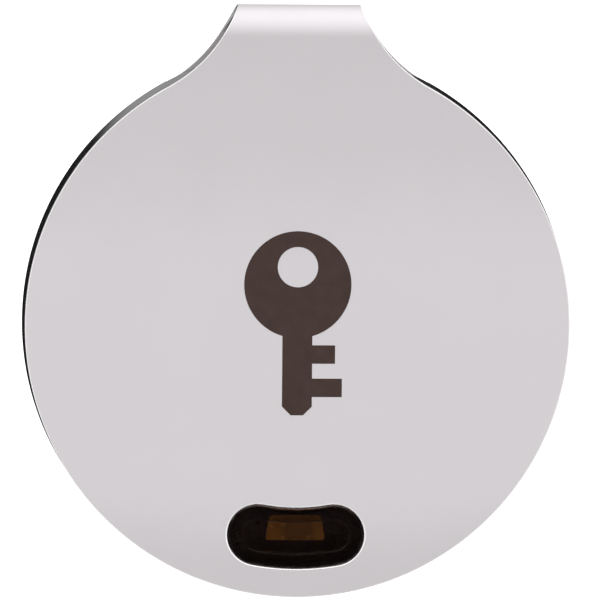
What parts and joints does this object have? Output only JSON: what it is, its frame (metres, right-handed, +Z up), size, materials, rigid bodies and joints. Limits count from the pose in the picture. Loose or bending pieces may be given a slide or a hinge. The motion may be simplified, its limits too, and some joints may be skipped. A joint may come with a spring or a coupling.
{
  "type": "bluetooth tracker tag",
  "caption": "Slim round Bluetooth tracker for a key ring: folded aluminium plate with a loop, smoky button at its foot, twist-off battery door behind.",
  "frame": {"origin": "on the axis of the folded key-ring loop, halfway between the front and back faces", "axes": "+Z up through the loop, +X to the right seen from the front, +Y from the front plate towards the battery door"},
  "size_m": [0.0312, 0.0036, 0.0338],
  "materials": {
    "aluminium": "bead-blasted and clear anodised, satin",
    "gloss_black": "polished moulded black",
    "gloss_black_door": "moulded black, fine spark-eroded texture",
    "matte_black": "moulded black, matt",
    "smoke": "smoke-tinted translucent moulded plastic, polished",
    "printed_mark": "pad-printed dark brown ink",
    "adhesive": "double-sided foam film",
    "foam": "thin foam",
    "silicone": "silicone, satin",
    "gasket": "moulded polypropylene",
    "nickel": "nickel plated steel, brushed",
    "lithium": "dull grey metal",
    "cathode": "pressed black powder",
    "brass": "rolled brass sheet",
    "gold": "gold-flashed spring strip",
    "ceramic": "fired white ceramic",
    "capacitor": "tan ceramic with tinned ends",
    "ferrite": "dark ferrite",
    "amber_film": "amber polyimide film, translucent",
    "board": "black solder mask over glass fibre, copper tracks",
    "chip_black": "black moulded epoxy",
    "crystal_lid": "nickel plated lid"
  },
  "bodies": {
    "tag": {"battery_anode": "lithium", "battery_can": "nickel", "battery_cap": "nickel", "battery_cathode": "cathode", "battery_gasket": "gasket", "boost_inductor": "ferrite", "capacitor_1": "capacitor", "capacitor_2": "capacitor", "capacitor_3": "capacitor", "capacitor_4": "capacitor", "capacitor_5": "capacitor", "capacitor_6": "capacitor", "chip_antenna": "ceramic", "circuit_board": "board", "contact_negative": "nickel", "contact_positive": "nickel", "crystal_fast": "crystal_lid", "crystal_slow": "crystal_lid", "front_carrier": "matte_black", "front_shell": "aluminium", "insulator_film": "amber_film", "piezo_adhesive": "adhesive", "piezo_ceramic": "ceramic", "piezo_contact_ceramic": "gold", "piezo_contact_plate": "gold", "piezo_plate": "brass", "radio_chip": "chip_black", "rear_housing": "gloss_black", "resistor_1": "chip_black", "resistor_2": "chip_black", "resistor_3": "chip_black", "resistor_4": "chip_black", "shell_adhesive": "adhesive", "switch_base": "chip_black", "switch_dome": "nickel", "switch_film": "amber_film", "tab_adhesive": "adhesive"},
    "button": {"button_cap": "smoke"},
    "door_turn": {"door_seal": "silicone"},
    "door": {"battery_door": "gloss_black_door", "door_pad": "foam"}
  },
  "joints": [
    {"name": "button_press", "type": "slide", "parent": "tag", "child": "button", "axis": [0, 1, 0], "range_m": [0, 0.0002], "stiffness_N_per_m": 500, "springref_m": -0.0002},
    {"name": "door_twist", "type": "hinge", "parent": "tag", "child": "door_turn", "pos_m": [0, 0, -0.01643], "axis": [0, 1, 0], "range_deg": [0, 20]},
    {"name": "door_lift", "type": "slide", "parent": "door_turn", "child": "door", "axis": [0, 1, 0], "range_m": [0, 0.008]}
  ]
}
